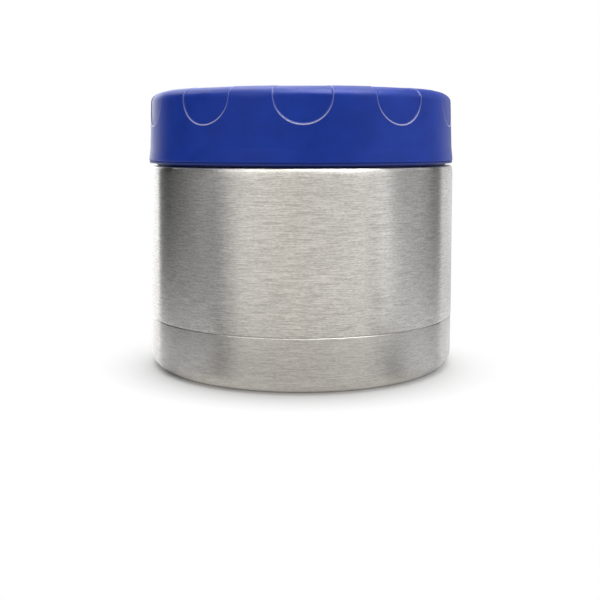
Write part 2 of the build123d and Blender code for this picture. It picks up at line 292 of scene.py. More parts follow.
def spread(shader, source, low, high, at_low=0.25, at_high=0.75):
    """Number that goes from low to high as the source goes from at_low to at_high."""
    node = shader.add("ShaderNodeMapRange")
    shader.join(source, node.inputs["Value"])
    for label, value in (("From Min", at_low), ("From Max", at_high), ("To Min", low), ("To Max", high)):
        node.inputs[label].default_value = value
    return node.outputs["Result"]


def tint(shader, mask, first, second):
    """Colour between two as the mask goes from 0 to 1."""
    node = shader.add("ShaderNodeMix", data_type="RGBA")
    shader.join(mask, node.inputs[0])
    node.inputs[6].default_value = (*first, 1)
    node.inputs[7].default_value = (*second, 1)
    return node.outputs[2]


def bump(shader, height, strength, distance):
    """Normal of a surface that a height mask raises."""
    node = shader.add("ShaderNodeBump")
    node.inputs["Strength"].default_value = strength
    node.inputs["Distance"].default_value = distance
    shader.join(height, node.inputs["Height"])
    return node.outputs["Normal"]


# ---- Materials ----
def brushed_steel(name, dark, light, roughness, stretch, depth, **strokes):
    """Steel brushed round the jar: highlights stretch up and down, across the brushing."""
    material, shader = new_material(name)
    surface = principled(shader, Metallic=1.0, Anisotropic=stretch, Anisotropic_Rotation=0.25)
    tangent = shader.add("ShaderNodeTangent", direction_type="RADIAL", axis="Z")
    shader.join(tangent.outputs[0], surface.inputs["Tangent"])
    brushing = use_group(shader, BRUSHING, **strokes)
    lines = brushing.outputs["Lines"]
    mask = spread(shader, lines, 0.0, 1.0, at_low=0.37, at_high=0.63)
    shader.join(tint(shader, mask, dark, light), surface.inputs["Base Color"])
    uneven = spread(shader, brushing.outputs["Cloud"], roughness * 0.96, roughness * 1.04)
    shader.join(uneven, surface.inputs["Roughness"])
    shader.join(bump(shader, lines, strength=depth, distance=0.01 * MM), surface.inputs["Normal"])
    return material


def scallop_line_and_highlight(shader):
    """Mask of the fine pale line along each scallop's edge, partly a polished edge and partly a painted
    highlight, which fades towards the top.
    """
    place = shader.add("ShaderNodeTexCoord").outputs["Object"]
    turned = shader.add("ShaderNodeVectorRotate", rotation_type="Z_AXIS")
    turned.inputs["Angle"].default_value = -SCALLOP_PHASE
    shader.join(place, turned.inputs["Vector"])
    split = shader.add("ShaderNodeSeparateXYZ")
    shader.join(turned.outputs[0], split.inputs[0])
    angle = shader.math("ARCTAN2", split.outputs["Y"], split.outputs["X"])
    sectors = shader.math("ROUND", shader.math("DIVIDE", angle, SCALLOP_SECTOR))
    whole = shader.math("MULTIPLY", sectors, SCALLOP_SECTOR)
    folded = shader.add("ShaderNodeVectorRotate", rotation_type="Z_AXIS")
    shader.join(turned.outputs[0], folded.inputs["Vector"])
    shader.join(shader.math("MULTIPLY", whole, -1.0), folded.inputs["Angle"])
    away = shader.add("ShaderNodeVectorMath", operation="DISTANCE")
    shader.join(folded.outputs[0], away.inputs[0])
    away.inputs[1].default_value = (SCALLOP_CENTRE[0] * MM, 0, SCALLOP_CENTRE[1] * MM)
    past_line = shader.math("SUBTRACT", away.outputs["Value"], SCALLOP_RADIUS * MM)
    off_line = shader.math("ABSOLUTE", past_line)
    line = spread(shader, off_line, 1.0, 0.0, HIGHLIGHT_LINE_CLEAR * MM, HIGHLIGHT_LINE_GONE * MM)
    # the painted highlight is strongest on the lower arcs and keeps only this share at the top
    highlight_at_top = 0.25
    heights = [height * MM for height in HIGHLIGHT_LINE_FADES]
    fade = spread(shader, split.outputs["Z"], 1.0, highlight_at_top, *heights)
    return shader.math("MULTIPLY", line, fade)


def satin_plastic(name, dark, light, roughness, shine=0.5, outline=None):
    """Moulded plastic with fine grain and soft mottle, and pale scallop edge lines where their colour is
    given, partly a polished edge and partly a painted highlight.
    """
    material, shader = new_material(name)
    surface = principled(shader, Specular_IOR_Level=shine)
    grain = use_group(shader, GRAIN)
    both = shader.math("ADD", grain.outputs["Grain"], grain.outputs["Mottle"])
    color = tint(shader, spread(shader, both, 0.0, 1.0, at_low=0.7, at_high=1.3), dark, light)
    if outline:
        # pale edge line mixed into the colour: partly a polished edge, partly a painted highlight
        highlighted_line = shader.add("ShaderNodeMix", data_type="RGBA")
        shader.join(scallop_line_and_highlight(shader), highlighted_line.inputs[0])
        shader.join(color, highlighted_line.inputs[6])
        highlighted_line.inputs[7].default_value = (*outline, 1)
        color = highlighted_line.outputs[2]
    shader.join(color, surface.inputs["Base Color"])
    uneven = spread(shader, grain.outputs["Mottle"], roughness * 0.92, roughness * 1.08)
    shader.join(uneven, surface.inputs["Roughness"])
    raised = bump(shader, grain.outputs["Grain"], strength=0.6, distance=0.04 * MM)
    shader.join(raised, surface.inputs["Normal"])
    return material


STEEL_WALL = brushed_steel(
    "brushed_steel_wall",
    dark=(0.59, 0.58, 0.565),
    light=(0.96, 0.95, 0.935),
    roughness=0.29,
    stretch=1.0,
    depth=0.1,
)
# Same brushed steel as the wall with fainter brushing; its darker colour is painted shade that darkens the
# lower part of the jar.
STEEL_CUP_SHADED = brushed_steel(
    "brushed_steel_cup",
    dark=(0.56, 0.55, 0.535),
    light=(0.80, 0.79, 0.775),
    roughness=0.29,
    stretch=1.0,
    depth=0.05,
)
STEEL_DRAWN = brushed_steel(
    "drawn_steel_satin",
    dark=(0.72, 0.71, 0.69),
    light=(0.80, 0.79, 0.78),
    roughness=0.26,
    stretch=0.4,
    depth=0.1,
    Line_Height=0.3,
    Short_Line=6.0,
    Long_Line=20.0,
)
FOIL = brushed_steel(
    "foil",
    dark=(0.62, 0.34, 0.22),
    light=(0.78, 0.47, 0.33),
    roughness=0.2,
    stretch=0.2,
    depth=0.4,
    Line_Height=1.5,
    Short_Line=8.0,
    Long_Line=20.0,
)
LID_BLUE = satin_plastic(
    "lid_plastic",
    dark=(0.0005, 0.033, 0.34),
    light=(0.0015, 0.045, 0.46),
    roughness=0.38,
    shine=0.42,
    # colour of the pale scallop edge line, partly a polished edge and partly a painted highlight
    outline=(0.62, 0.60, 0.80),
)
LINER_BLUE = satin_plastic(
    "liner_plastic", dark=(0.005, 0.028, 0.24), light=(0.007, 0.034, 0.28), roughness=0.42
)
SILICONE = satin_plastic("silicone", dark=(0.70, 0.71, 0.72), light=(0.78, 0.79, 0.80), roughness=0.5)
FOAM = satin_plastic("foam", dark=(0.80, 0.80, 0.77), light=(0.90, 0.90, 0.88), roughness=0.9)
SOLDER = satin_plastic("solder_glass", dark=(0.07, 0.075, 0.07), light=(0.10, 0.105, 0.10), roughness=0.15)
GETTER = satin_plastic("getter_metal", dark=(0.12, 0.115, 0.11), light=(0.18, 0.17, 0.165), roughness=0.6)


# ---- Mesh helpers ----
def arc_round(before, corner, after, rounding, step):
    """Points of the arc that rounds one corner of an outline."""
    to_before = (Vector(before) - Vector(corner)).normalized()
    to_after = (Vector(after) - Vector(corner)).normalized()
    half = to_before.angle(to_after) / 2
    reach = rounding / math.tan(half)
    centre = Vector(corner) + (to_before + to_after).normalized() * (rounding / math.sin(half))
    start = Vector(corner) + to_before * reach - centre
    end = Vector(corner) + to_after * reach - centre
    turn = start.angle_signed(end)
    count = max(2, math.ceil(abs(turn) / step))
    arc = []
    for i in range(count + 1):
        angle = -turn * i / count
        arc.append(
            (
                centre.x + start.x * math.cos(angle) - start.y * math.sin(angle),
                centre.y + start.x * math.sin(angle) + start.y * math.cos(angle),
            )
        )
    return arc


def rounded(corners, closed=True, step=math.radians(9)):
    """Outline points from (radius, height, rounding) corners, each rounded by its own arc."""
    outline = []
    last = len(corners) - 1
    for i, (radius, height, rounding) in enumerate(corners):
        if rounding and (closed or 0 < i < last):
            before = corners[i - 1][:2]
            after = corners[(i + 1) % len(corners)][:2]
            outline += arc_round(before, (radius, height), after, rounding, step)
        else:
            outline.append((radius, height))
    return outline


def thread_rows(radius, top, bottom):
    """Upright run of an outline, in rows that are fine enough to carry a thread."""
    count = math.ceil((top - bottom) / THREAD_ROW)
    return [(radius, top + (bottom - top) * i / count) for i in range(count)] + [(radius, bottom)]


def finish_mesh(mesh, sharp=math.radians(40)):
    """Doubles merged, loose edges gone, faces outwards, smooth shading with sharp creases kept."""
    work = bmesh.new()
    work.from_mesh(mesh)
    bmesh.ops.remove_doubles(work, verts=work.verts, dist=0.002 * MM)
    bmesh.ops.delete(work, geom=[edge for edge in work.edges if not edge.link_faces], context="EDGES")
    bmesh.ops.recalc_face_normals(work, faces=work.faces)
    work.to_mesh(mesh)
    work.free()
    mesh.shade_smooth()
    mesh.set_sharp_from_angle(angle=sharp)
    mesh.update()


def place_piece(name, mesh, material, body, slot, *nodes):
    """The finished mesh as a shown piece that rides on its body and stands for its CAD nodes."""
    piece = bpy.data.objects.new(name, mesh)
    bpy.context.scene.collection.objects.link(piece)
    mesh.materials.clear()
    mesh.materials.append(material)
    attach(piece, body)
    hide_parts(*nodes)


# ---- Places of the thread ridges on the neck and in the liner's bore ----
RIDGE_FOOT = SHOULDER_HEIGHT + NECK_ROOT_ROUND + RIDGE_MARGIN + RIDGE_ROOT / 2
RIDGE_RISE = LIP_EDGE - RIDGE_MARGIN / 2 - RIDGE_ROOT / 2 - RIDGE_FOOT
FLANK_PITCH = (RIDGE_ROOT + LINER_RIDGE_ROOT) / 2 - RIDGE_SLOPE * (LINER_BORE - NECK_RADIUS)
LINER_RIDGE_FOOT = LID_BOTTOM + EDGE_ROUND + LINER_RIDGE_ROOT / 2
MESH_DROP = FLANK_PITCH + FLANK_CLEARANCE
LINER_RIDGE_TURN = 2 * math.pi * (LINER_RIDGE_FOOT - RIDGE_FOOT + MESH_DROP) / THREAD_LEAD


def thread_inputs(lengths, side, turn):
    """Named inputs that raise a thread out of a spun wall; side is 1 for outwards and -1 for inwards."""
    return {label: value * MM for label, value in lengths.items()} | {"Ridge Side": side, "Ridge Turn": turn}


NECK_THREAD = thread_inputs(
    {
        "Wall Radius": NECK_RADIUS,
        "Wall Bottom": SHOULDER_HEIGHT + NECK_ROOT_ROUND,
        "Wall Top": LIP_EDGE,
        "Ridge Depth": RIDGE_DEPTH,
        "Ridge Root": RIDGE_ROOT,
        "Ridge Foot": RIDGE_FOOT,
        "Ridge Rise": RIDGE_RISE,
    },
    side=1.0,
    turn=0.0,
)
LINER_THREAD = thread_inputs(
    {
        "Wall Radius": LINER_BORE,
        "Wall Bottom": SEAT_BOTTOM + EDGE_ROUND,
        "Wall Top": LINER_CEILING - EDGE_ROUND,
        "Ridge Depth": LINER_RIDGE_DEPTH,
        "Ridge Root": LINER_RIDGE_ROOT,
        "Ridge Foot": LINER_RIDGE_FOOT,
        "Ridge Rise": LINER_RIDGE_RISE,
    },
    side=-1.0,
    turn=LINER_RIDGE_TURN,
)


# ---- Geometry Nodes trees: a spun wall with its thread, and a piece repeated round the axis ----
def geometry_tree(name, inputs):
    """Empty tree with a geometry, a material and named sizes for inputs."""
    tree = bpy.data.node_groups.new(name, "GeometryNodeTree")
    tree.interface.new_socket("Geometry", in_out="INPUT", socket_type="NodeSocketGeometry")
    tree.interface.new_socket("Material", in_out="INPUT", socket_type="NodeSocketMaterial")
    for label, default in inputs.items():
        kind = "NodeSocketInt" if isinstance(default, int) else "NodeSocketFloat"
        tree.interface.new_socket(label, in_out="INPUT", socket_type=kind).default_value = default
    tree.interface.new_socket("Geometry", in_out="OUTPUT", socket_type="NodeSocketGeometry")
    return tree, NodeTree(tree), tree.nodes.new("NodeGroupInput"), tree.nodes.new("NodeGroupOutput")


def end_tree(nodes, given, out, geometry):
    """Every tree ends with its instances made real and its material set."""
    real = nodes.add("GeometryNodeRealizeInstances")
    painted = nodes.add("GeometryNodeSetMaterial")
    nodes.join(geometry, real.inputs["Geometry"])
    nodes.join(real.outputs["Geometry"], painted.inputs["Geometry"])
    nodes.join(given.outputs["Material"], painted.inputs["Material"])
    nodes.join(painted.outputs["Geometry"], out.inputs["Geometry"])


def ridge_offset(nodes, size, angle, height):
    """How far a thread stands out of its wall: a trapezoid with eased foot and crest, and rounded ends."""
    pitch = THREAD_LEAD * MM / THREAD_STARTS
    turned = nodes.math("SUBTRACT", angle, size["Ridge Turn"])
    climbed = nodes.math("MULTIPLY", turned, THREAD_STARTS / (2 * math.pi))
    above_foot = nodes.math("SUBTRACT", height, size["Ridge Foot"])
    laps = nodes.math("SUBTRACT", nodes.math("DIVIDE", above_foot, pitch), climbed)
    part_lap = nodes.math("SUBTRACT", laps, nodes.math("ROUND", laps))
    off_middle = nodes.math("MULTIPLY", part_lap, pitch)
    middle = nodes.math("SUBTRACT", above_foot, off_middle)
    past_top = nodes.math("SUBTRACT", middle, size["Ridge Rise"])
    past_foot = nodes.math("MULTIPLY", middle, -1.0)
    over = nodes.math("MAXIMUM", nodes.math("MAXIMUM", past_foot, past_top), 0.0)
    past_end = nodes.math("MULTIPLY", over, 2 * math.pi * NECK_RADIUS / THREAD_LEAD)
    both = nodes.add("ShaderNodeCombineXYZ")
    nodes.join(off_middle, both.inputs["X"])
    nodes.join(past_end, both.inputs["Y"])
    away = nodes.add("ShaderNodeVectorMath", operation="LENGTH")
    nodes.join(both.outputs[0], away.inputs[0])
    half_root = nodes.math("MULTIPLY", size["Ridge Root"], 0.5)
    flank = nodes.math("DIVIDE", nodes.math("SUBTRACT", half_root, away.outputs["Value"]), RIDGE_SLOPE)
    raised = nodes.math("MINIMUM", nodes.math("MAXIMUM", flank, 0.0), size["Ridge Depth"])
    share = nodes.math("DIVIDE", raised, size["Ridge Depth"])
    eased = nodes.add("ShaderNodeMapRange", interpolation_type="SMOOTHSTEP")
    nodes.join(share, eased.inputs["Value"])
    eased_depth = nodes.math("MULTIPLY", eased.outputs["Result"], size["Ridge Depth"])
    eased_part = nodes.math("MULTIPLY", eased_depth, RIDGE_EASING)
    return nodes.math("ADD", eased_part, nodes.math("MULTIPLY", raised, 1 - RIDGE_EASING))


def make_spun_wall():
    """Tree that spins an outline about Z, and raises a thread out of one upright run of it if asked to."""
    inputs = {"Outline Points": 2, "Segments": ROUND_SEGMENTS}
    tree, nodes, given, out = geometry_tree("spun_wall", inputs | dict.fromkeys(NECK_THREAD, 0.0))
    size = given.outputs
    columns = nodes.math("ADD", size["Segments"], 1.0)
    grid = nodes.add("GeometryNodeMeshGrid")
    nodes.join(size["Outline Points"], grid.inputs["Vertices X"])
    nodes.join(columns, grid.inputs["Vertices Y"])
    index = nodes.add("GeometryNodeInputIndex").outputs[0]
    row = nodes.math("FLOOR", nodes.math("DIVIDE", nodes.math("ADD", index, 0.5), columns))
    column = nodes.math("SUBTRACT", index, nodes.math("MULTIPLY", row, columns))
    angle = nodes.math("MULTIPLY", nodes.math("DIVIDE", column, size["Segments"]), 2 * math.pi)
    point = nodes.add("GeometryNodeSampleIndex", data_type="FLOAT_VECTOR")
    nodes.join(size["Geometry"], point.inputs["Geometry"])
    nodes.join(nodes.add("GeometryNodeInputPosition").outputs[0], point.inputs["Value"])
    nodes.join(row, point.inputs["Index"])
    split = nodes.add("ShaderNodeSeparateXYZ")
    nodes.join(point.outputs["Value"], split.inputs[0])
    radius, height = split.outputs["X"], split.outputs["Z"]
    off_wall = nodes.math("ABSOLUTE", nodes.math("SUBTRACT", radius, size["Wall Radius"]))
    wall_tolerance = 0.01 * MM
    on_wall = nodes.math("LESS_THAN", off_wall, wall_tolerance)
    on_wall = nodes.math("MULTIPLY", on_wall, nodes.math("GREATER_THAN", height, size["Wall Bottom"]))
    on_wall = nodes.math("MULTIPLY", on_wall, nodes.math("LESS_THAN", height, size["Wall Top"]))
    offset = nodes.math("MULTIPLY", ridge_offset(nodes, size, angle, height), size["Ridge Side"])
    spun = nodes.math("ADD", radius, nodes.math("MULTIPLY", offset, on_wall))
    place = nodes.add("ShaderNodeCombineXYZ")
    nodes.join(nodes.math("MULTIPLY", spun, nodes.math("COSINE", angle)), place.inputs["X"])
    nodes.join(nodes.math("MULTIPLY", spun, nodes.math("SINE", angle)), place.inputs["Y"])
    nodes.join(height, place.inputs["Z"])
    moved = nodes.add("GeometryNodeSetPosition")
    nodes.join(grid.outputs["Mesh"], moved.inputs["Geometry"])
    nodes.join(place.outputs[0], moved.inputs["Position"])
    end_tree(nodes, given, out, moved.outputs["Geometry"])
    return tree


def make_repeat():
    """Tree that repeats a geometry round Z, a whole number of times in one turn."""
    tree, nodes, given, out = geometry_tree("repeat_round_axis", {"Count": 1})
    size = given.outputs
    points = nodes.add("GeometryNodePoints")
    nodes.join(size["Count"], points.inputs["Count"])
    index = nodes.add("GeometryNodeInputIndex").outputs[0]
    share = nodes.math("DIVIDE", index, size["Count"])
    turn = nodes.add("ShaderNodeCombineXYZ")
    nodes.join(nodes.math("MULTIPLY", share, 2 * math.pi), turn.inputs["Z"])
    copies = nodes.add("GeometryNodeInstanceOnPoints")
    nodes.join(points.outputs[0], copies.inputs["Points"])
    nodes.join(size["Geometry"], copies.inputs["Instance"])
    nodes.join(turn.outputs[0], copies.inputs["Rotation"])
    end_tree(nodes, given, out, copies.outputs["Instances"])
    return tree


SPUN_WALL = make_spun_wall()
REPEAT = make_repeat()


def grown_mesh(name, source, tree, sizes):
    """Plain mesh that a tree makes from a source mesh; the helper object and its modifier are removed."""
    helper = bpy.data.objects.new(name, source)
    bpy.context.scene.collection.objects.link(helper)
    modifier = helper.modifiers.new(tree.name, "NODES")
    modifier.node_group = tree
    for socket in tree.interface.items_tree:
        if socket.in_out == "INPUT" and socket.name in sizes:
            modifier[socket.identifier] = sizes[socket.name]
    graph = bpy.context.evaluated_depsgraph_get()
    mesh = bpy.data.meshes.new_from_object(helper.evaluated_get(graph))
    helper.modifiers.remove(modifier)
    bpy.data.objects.remove(helper)
    bpy.data.meshes.remove(source)
    return mesh


def spun_mesh(name, outline, material, segments=ROUND_SEGMENTS, closed=True, thread=None):
    """Mesh of an outline spun about Z, in metres, with a thread where its inputs are given."""
    points = [(radius * MM, 0, height * MM) for radius, height in outline]
    if closed:
        points.append(points[0])
    source = bpy.data.meshes.new(name + "_outline")
    source.from_pydata(points, [], [])
    sizes = {"Outline Points": len(points), "Segments": segments, "Material": material}
    return grown_mesh(name, source, SPUN_WALL, sizes | (thread or {}))


def make_spun_piece(name, outline, material, body, slot, node, thread=None):
    """A piece that is one outline spun about Z, in place of one CAD node."""
    mesh = spun_mesh(name, outline, material, thread=thread)
    finish_mesh(mesh)
    place_piece(name, mesh, material, body, slot, node)


# ---- Jar pieces ----
def make_shell():
    """Body wall, eased shoulder and threaded neck, drawn from one sheet."""
    neck = thread_rows(NECK_RADIUS, LIP_EDGE, SHOULDER_HEIGHT + NECK_ROOT_ROUND)
    eased = [(BODY_RADIUS - lean, SHOULDER_HEIGHT - drop, rounding) for lean, drop, rounding in SHOULDER_EASE]
    ease_start = eased[-1][1]
    rest = rounded(
        [
            (NECK_RADIUS, LIP_EDGE, 0),
            (NECK_RADIUS, SHOULDER_HEIGHT, NECK_ROOT_ROUND),
            *eased,
            (BODY_RADIUS, SEAM_HEIGHT, SEAM_ROUND),
            (JOGGLE_RADIUS, SEAM_HEIGHT, 0),
            (JOGGLE_RADIUS, SHELL_END, 0),
            (JOGGLE_RADIUS - STEEL, SHELL_END, 0),
            (JOGGLE_RADIUS - STEEL, SEAM_HEIGHT + STEEL, 0),
            (BODY_RADIUS - STEEL, SEAM_HEIGHT + STEEL, 0),
            (BODY_RADIUS - STEEL, ease_start, 0),
            (BODY_RADIUS - SHOULDER_LEAN_INSIDE - STEEL, SHOULDER_HEIGHT - STEEL, SHOULDER_ROUND - STEEL),
            (NECK_BORE, SHOULDER_HEIGHT - STEEL, NECK_ROOT_ROUND + STEEL),
            (NECK_BORE, LIP_EDGE, 0),
        ]
    )
    outline = neck + rest[2:]  # the neck's rows already hold the first two points
    make_spun_piece("shell", outline, STEEL_WALL, "jar", "brushed_steel_wall", "outer_shell", NECK_THREAD)


def make_cup():
    """Base cup with its rounded lower edge, standing ring and recessed floor."""
    outline = rounded(
        [
            (0, BASE_RECESS, 0),
            (FOOT_RADIUS, BASE_RECESS, FOOT_BEND),
            (FOOT_RADIUS, 0, FOOT_BEND),
            (CUP_RADIUS, 0, CUP_CORNER),
            (CUP_RADIUS, SEAM_HEIGHT, SEAM_ROUND),
            (CUP_RADIUS - STEEL, SEAM_HEIGHT, 0),
            (CUP_RADIUS - STEEL, STEEL, CUP_CORNER - STEEL),
            (FOOT_RADIUS + STEEL, STEEL, FOOT_BEND - STEEL),
            (FOOT_RADIUS + STEEL, BASE_RECESS + STEEL, FOOT_BEND + STEEL),
            (0, BASE_RECESS + STEEL, 0),
        ],
        step=math.radians(6),
    )
    make_spun_piece("cup", outline, STEEL_CUP_SHADED, "jar", "brushed_steel_wall", "base_cup")


def make_vessel():
    """Bowl that holds the food, with the lip rolled over to the neck."""
    outline = rounded(
        [
            (0, VESSEL_FLOOR, 0),
            (VESSEL_RADIUS, VESSEL_FLOOR, VESSEL_CORNER),
            (VESSEL_RADIUS, MOUTH - STEEL, LIP_BEND),
            (NECK_BORE, MOUTH - STEEL, LIP_BEND),
            (NECK_BORE, LIP_EDGE, 0),
            (NECK_RADIUS, LIP_EDGE, 0),
            (NECK_RADIUS, MOUTH, LIP_BEND + STEEL),
            (CAVITY_RADIUS, MOUTH, LIP_BEND + STEEL),
            (CAVITY_RADIUS, VESSEL_FLOOR + STEEL, VESSEL_CORNER - STEEL),
            (0, VESSEL_FLOOR + STEEL, 0),
        ],
        step=math.radians(6),
    )
    make_spun_piece("vessel", outline, STEEL_DRAWN, "jar", "drawn_steel", "inner_vessel")


# ---- Lid pieces ----
def make_liner():
    """Threaded collar, flange, gasket seat and stopper in one moulding."""
    bore = thread_rows(LINER_BORE, LINER_CEILING - EDGE_ROUND, SEAT_BOTTOM + EDGE_ROUND)
    rest = rounded(
        [
            (LINER_BORE, SEAT_BOTTOM, EDGE_ROUND),
            (SEAT_RADIUS, SEAT_BOTTOM, SEAT_ROUND),
            (SEAT_RADIUS, LID_BOTTOM, 0),
            (FLANGE_RADIUS, LID_BOTTOM, EDGE_ROUND),
            (FLANGE_RADIUS, FLANGE_TOP, 0),
            (LINER_RADIUS, FLANGE_TOP, 0),
            (LINER_RADIUS, LINER_TOP, LINER_ROUND),
            (GROOVE_RADIUS - STOPPER_WALL, LINER_TOP, 0),
            (GROOVE_RADIUS - STOPPER_WALL, STOPPER_BOTTOM + STOPPER_FLOOR, 0),
            (0, STOPPER_BOTTOM + STOPPER_FLOOR, 0),
            (0, STOPPER_BOTTOM, 0),
            (STOPPER_RADIUS, STOPPER_BOTTOM, STOPPER_CORNER),
            (STOPPER_RADIUS, MOUTH, EDGE_ROUND),
            (GROOVE_RADIUS, MOUTH, 0),
            (GROOVE_RADIUS, LINER_CEILING, 0),
            (LINER_BORE, LINER_CEILING, EDGE_ROUND),
        ]
    )
    make_spun_piece("liner", bore + rest, LINER_BLUE, "lid", "liner_plastic", "lid_liner", LINER_THREAD)


def make_gasket():
    """Flat ring in the stopper's groove, just clear of the lip."""
    inside, outside = GROOVE_RADIUS + GASKET_CLEARANCE, NECK_RADIUS + GASKET_OVERHANG
    outline = rounded(
        [
            (inside, GASKET_BOTTOM, 0),
            (outside, GASKET_BOTTOM, GASKET_ROUND),
            (outside, GASKET_TOP, GASKET_ROUND),
            (inside, GASKET_TOP, 0),
        ]
    )
    make_spun_piece("gasket", outline, SILICONE, "seal", "silicone", "lid_gasket")


def cap_outline():
    """The cap's outer surface from the middle of its top down to its lower edge."""
    edge_radius = CAP_SHOULDER_RADIUS - CAP_CORNER_WIDTH
    crown_rings = 12
    crown = []
    for i in range(crown_rings):
        share = i / crown_rings
        crown.append((edge_radius * share, CAP_TOP + CAP_CROWN * (1 - share**2)))
    corner_rings = 24
    corner = []
    for i in range(corner_rings + 1):
        angle = math.pi / 2 * (1 - i / corner_rings)
        corner.append(
            (
                edge_radius + CAP_CORNER_WIDTH * math.cos(angle),
                CAP_CORNER_START + CAP_CORNER_HEIGHT * math.sin(angle),
            )
        )
    skirt = rounded(
        [
            (CAP_SHOULDER_RADIUS, CAP_CORNER_START, 0),
            (SKIRT_RADIUS, BAND_TOP, BAND_ROUND),
            (BODY_RADIUS, FLANGE_TOP + EDGE_ROUND, EDGE_ROUND),
            (BODY_RADIUS - EDGE_ROUND, FLANGE_TOP, 0),
        ],
        closed=False,
    )
    return crown + corner + skirt[1:]


class CapSurface:
    """The cap's outer surface, walked by distance along its outline."""

    def __init__(self, outline):
        self.points = outline
        self.reach = [0.0]
        for (r0, z0), (r1, z1) in zip(outline, outline[1:]):
            self.reach.append(self.reach[-1] + math.hypot(r1 - r0, z1 - z0))

    def at(self, distance):
        """Radius, height, and outward direction at a distance along the outline."""
        i = 0
        while i < len(self.reach) - 2 and self.reach[i + 1] < distance:
            i += 1
        share = (distance - self.reach[i]) / (self.reach[i + 1] - self.reach[i])
        (r0, z0), (r1, z1) = self.points[i], self.points[i + 1]
        radius, height = r0 + (r1 - r0) * share, z0 + (z1 - z0) * share
        return radius, height, self.direction(i, share)

    def direction(self, i, share):
        """Outward direction, eased from one run of the outline to the next."""
        runs = []
        for k in (i - 1, i, i + 1):
            k = min(max(k, 0), len(self.points) - 2)
            (r0, z0), (r1, z1) = self.points[k], self.points[k + 1]
            runs.append(Vector((z0 - z1, r1 - r0)).normalized())
        start, end = (runs[0] + runs[1]) / 2, (runs[1] + runs[2]) / 2
        return (start * (1 - share) + end * share).normalized()

    def distance_to_radius(self, radius):
        """Distance along the outline at which it first reaches a radius."""
        for i, (r, _) in enumerate(self.points):
            if r >= radius:
                return self.reach[i]

    def distance_to_height(self, height):
        """Distance along the outline at which its outer part comes down to a height."""
        for i, (r, z) in enumerate(self.points):
            if z <= height and r > SCALLOP_CENTRE[0]:
                return self.reach[i - 1] + (self.points[i - 1][1] - height) * (
                    (self.reach[i] - self.reach[i - 1]) / (self.points[i - 1][1] - z)
                )


# One scallop's patch: a fan of spokes from a hub inside the scallop to the patch's four-sided edge.
PATCH_TOP_RADIUS = 39.0
PATCH_HUB = CAP_TOP - 1.6
PATCH_BOTTOM = CAP_TOP - 13.4
PATCH_ACROSS = 26
PATCH_DOWN = 26
# Rings of the patch: distances from the scallop's outline over its step, in millimetres, and shares of the
# way from the outline to the patch's edge and from the step to the hub.
STEP_PLACES = (0.25, 0.12, 0.07, 0.03, -0.02, -0.12, -0.26, -0.38, -0.46, -0.50, -0.54, -0.60, -0.85)
OUTSIDE_SHARES = (0.12, 0.35, 0.65, 1.0)
INSIDE_SHARES = (0.95, 0.88, 0.79, 0.68, 0.56, 0.43, 0.3, 0.17, 0.08)


def scallop_drop(gap, height):
    """Depth of the recess at a distance from the scallop's outline, which is negative inside it."""
    fade = min(1.0, max(SCALLOP_LEAST, (CAP_TOP - height) / SCALLOP_RUNOUT))
    return SCALLOP_DEPTH * fade * min(1.0, max(0.0, (SCALLOP_STEP_START - gap) / SCALLOP_STEP))


def scallop_spot(outer, turn, along):
    """Place on the scalloped surface, and its distance from the scallop's outline."""
    centre = Vector((SCALLOP_CENTRE[0], 0, SCALLOP_CENTRE[1]))
    radius, height, out = outer.at(along)
    place = Vector((radius * math.cos(turn), radius * math.sin(turn), height))
    gap = (place - centre).length - SCALLOP_RADIUS
    drop = scallop_drop(gap, height)
    sunk = radius - out.x * drop
    return Vector((sunk * math.cos(turn), sunk * math.sin(turn), height - out.y * drop)), gap


def patch_edge(top, bottom):
    """Ends of the spokes, as turns and distances along the outline, in order round the patch."""
    edge = []
    for i in range(PATCH_ACROSS):
        edge.append((SCALLOP_SECTOR * (i / PATCH_ACROSS - 0.5), top))
    for i in range(PATCH_DOWN):
        edge.append((SCALLOP_SECTOR / 2, top + (bottom - top) * i / PATCH_DOWN))
    for i in range(PATCH_ACROSS):
        edge.append((SCALLOP_SECTOR * (0.5 - i / PATCH_ACROSS), bottom))
    for i in range(PATCH_DOWN):
        edge.append((-SCALLOP_SECTOR / 2, bottom - (bottom - top) * i / PATCH_DOWN))
    return edge


def scallop_patch(outer, top, bottom):
    """Mesh of one scallop and the skin round it, with rings that follow the scallop's outline."""
    hub = outer.distance_to_height(PATCH_HUB)
    vertices = []
    spokes = []
    for turn_end, along_end in patch_edge(top, bottom):

        def on_spoke(share):
            return scallop_spot(outer, turn_end * share, hub + (along_end - hub) * share)

        rim, beyond = 0.0, 1.0
        for _ in range(40):  # halvings that close in on the scallop's outline
            half = (rim + beyond) / 2
            if on_spoke(half)[1] < 0:
                rim = half
            else:
                beyond = half
        length = (on_spoke(rim)[0] - on_spoke(0)[0]).length
        shares = [1 - (1 - rim) * (1 - s) for s in reversed(OUTSIDE_SHARES)]
        shares += [rim * (1 + place / length) for place in STEP_PLACES]
        inner = shares[-1]
        shares += [inner * s for s in INSIDE_SHARES]
        spoke = []
        for share in shares:
            vertices.append(on_spoke(share)[0] * MM)
            spoke.append(len(vertices) - 1)
        spokes.append(spoke)
    vertices.append(scallop_spot(outer, 0, hub)[0] * MM)
    middle = len(vertices) - 1
    faces = []
    for i, spoke in enumerate(spokes):
        following = spokes[(i + 1) % len(spokes)]
        for k in range(len(spoke) - 1):
            faces.append((spoke[k], following[k], following[k + 1], spoke[k + 1]))
        faces.append((spoke[-1], following[-1], middle))
    patch = bpy.data.meshes.new("scallop_patch")
    patch.from_pydata(vertices, [], faces)
    return patch


